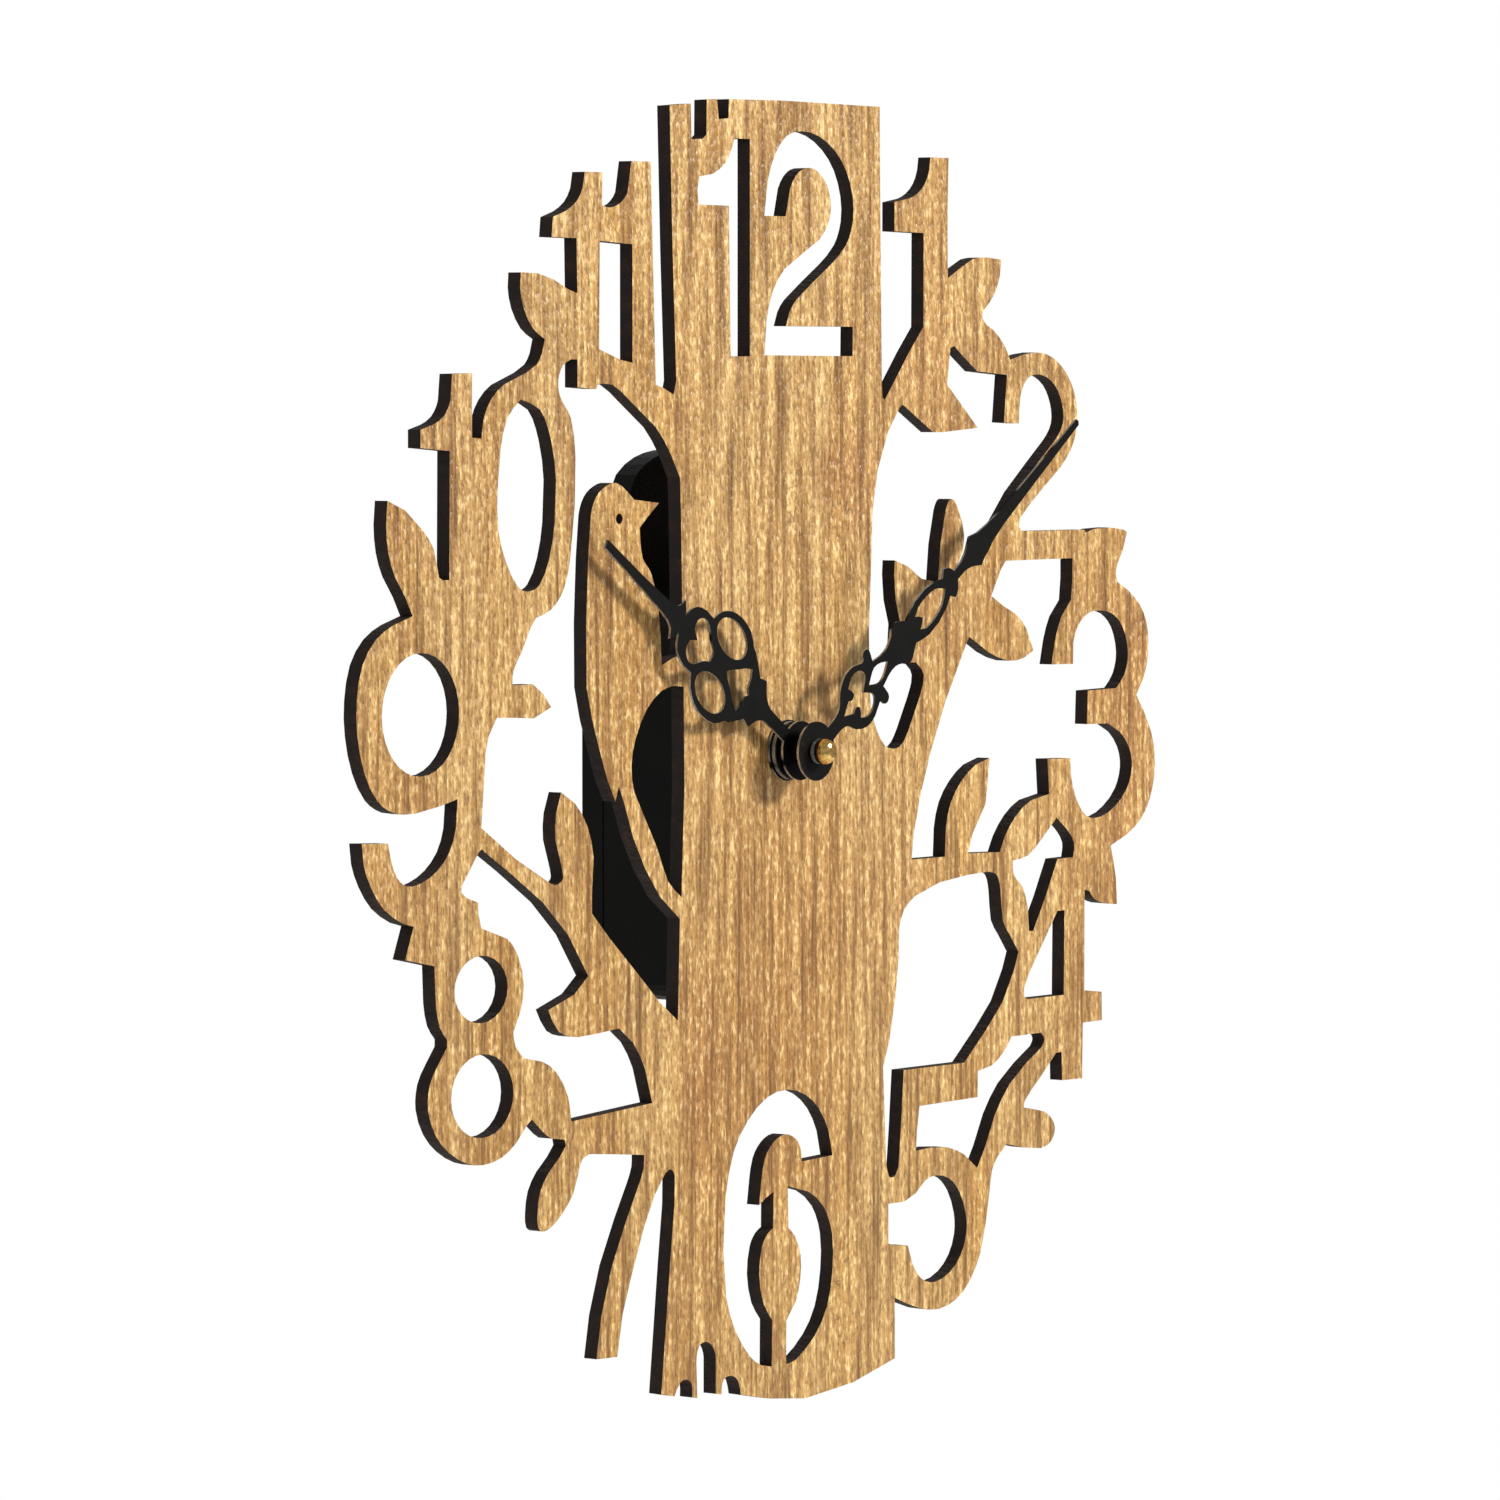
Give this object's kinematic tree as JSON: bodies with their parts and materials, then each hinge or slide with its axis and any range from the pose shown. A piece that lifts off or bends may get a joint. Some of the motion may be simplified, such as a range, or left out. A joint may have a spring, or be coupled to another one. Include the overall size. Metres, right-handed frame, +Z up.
{
  "type": "wall clock",
  "caption": "Wall clock cut from a thin wooden board as a tree with a bird and large cut-out numerals, with ornate black hands and a quartz movement.",
  "frame": {"origin": "Where the main shaft's axis meets the wall plane, on the movement's rear face.", "axes": "+X is to the viewer's right, +Z is up towards the 12, and the dial faces -Y. The wall is the plane Y = 0."},
  "size_m": [0.2508, 0.0392, 0.2506],
  "materials": {
    "oak_laminate": "embossed oak laminate with a satin lacquer and burnt edges",
    "black_hand_paint": "matte black paint on aluminium sheet, cut edges bare",
    "polished_brass": "polished",
    "bright_steel": "bright",
    "black_rubber": "matte",
    "black_plastic": "fine-grained black moulding",
    "white_plastic": "white moulding",
    "copper_wire": "lacquered copper wire",
    "green_circuit_board": "green solder mask",
    "rotor_magnet": "dark moulded magnet",
    "battery_jacket": "plain printed sleeve without lettering"
  },
  "bodies": {
    "clock_frame": {"dial_panel": "oak_laminate", "threaded_neck": "polished_brass", "rubber_washer": "black_rubber", "fixing_washer": "black_hand_paint", "fixing_nut": "black_hand_paint", "movement_case": "black_plastic", "rear_cover": "black_plastic", "train_plate": "white_plastic", "train_bridge": "white_plastic", "stator": "bright_steel", "coil_core": "bright_steel", "coil_bobbin": "white_plastic", "coil_winding": "copper_wire", "circuit_board": "green_circuit_board", "quartz_crystal": "bright_steel", "driver_chip": "black_plastic", "battery": "battery_jacket", "positive_contact": "bright_steel", "negative_contact": "bright_steel"},
    "minute_work": {"minute_hand": "black_hand_paint", "hand_collar": "black_hand_paint", "hand_cap_nut": "polished_brass", "cannon_pinion": "polished_brass"},
    "hour_work": {"hour_hand": "black_hand_paint", "hour_wheel": "black_plastic"},
    "minute_wheel": {"minute_wheel": "white_plastic"},
    "setting_knob": {"setting_knob": "white_plastic"},
    "rotor": {"rotor": "rotor_magnet"},
    "intermediate_wheel": {"intermediate_wheel": "white_plastic"},
    "seconds_wheel": {"seconds_wheel": "white_plastic"},
    "third_wheel": {"third_wheel": "white_plastic"},
    "centre_wheel": {"centre_wheel": "polished_brass"}
  },
  "joints": [
    {"name": "minute_spin", "type": "hinge", "parent": "clock_frame", "child": "minute_work", "pos_m": [0, 0, 0], "axis": [0, 1, 0], "continuous": true},
    {"name": "hour_spin", "type": "hinge", "parent": "clock_frame", "child": "hour_work", "pos_m": [0, 0, 0], "axis": [0, 1, 0], "continuous": true},
    {"name": "minute_wheel_spin", "type": "hinge", "parent": "clock_frame", "child": "minute_wheel", "pos_m": [0.00901, 0, 0.00631], "axis": [0, 1, 0], "continuous": true},
    {"name": "setting_knob_spin", "type": "hinge", "parent": "clock_frame", "child": "setting_knob", "pos_m": [0.01935, 0, 0.01007], "axis": [0, 1, 0], "continuous": true},
    {"name": "rotor_spin", "type": "hinge", "parent": "clock_frame", "child": "rotor", "pos_m": [0.01333, 0, -0.01512], "axis": [0, 1, 0], "continuous": true},
    {"name": "intermediate_spin", "type": "hinge", "parent": "clock_frame", "child": "intermediate_wheel", "pos_m": [0.00431, 0, -0.01184], "axis": [0, 1, 0], "continuous": true},
    {"name": "seconds_spin", "type": "hinge", "parent": "clock_frame", "child": "seconds_wheel", "pos_m": [0, 0, 0], "axis": [0, 1, 0], "continuous": true},
    {"name": "third_spin", "type": "hinge", "parent": "clock_frame", "child": "third_wheel", "pos_m": [-0.01031, 0, 0.00595], "axis": [0, 1, 0], "continuous": true},
    {"name": "centre_spin", "type": "hinge", "parent": "clock_frame", "child": "centre_wheel", "pos_m": [0, 0, 0], "axis": [0, 1, 0], "continuous": true}
  ],
  "couplings": [
    {"joint": "hour_spin", "follows": "minute_spin", "ratio": 0.083333},
    {"joint": "minute_wheel_spin", "follows": "minute_spin", "ratio": -0.33333},
    {"joint": "setting_knob_spin", "follows": "minute_spin", "ratio": 1},
    {"joint": "intermediate_spin", "follows": "rotor_spin", "ratio": -0.2},
    {"joint": "seconds_spin", "follows": "rotor_spin", "ratio": 0.033333},
    {"joint": "third_spin", "follows": "rotor_spin", "ratio": -0.0044444},
    {"joint": "centre_spin", "follows": "rotor_spin", "ratio": 0.00055556}
  ]
}
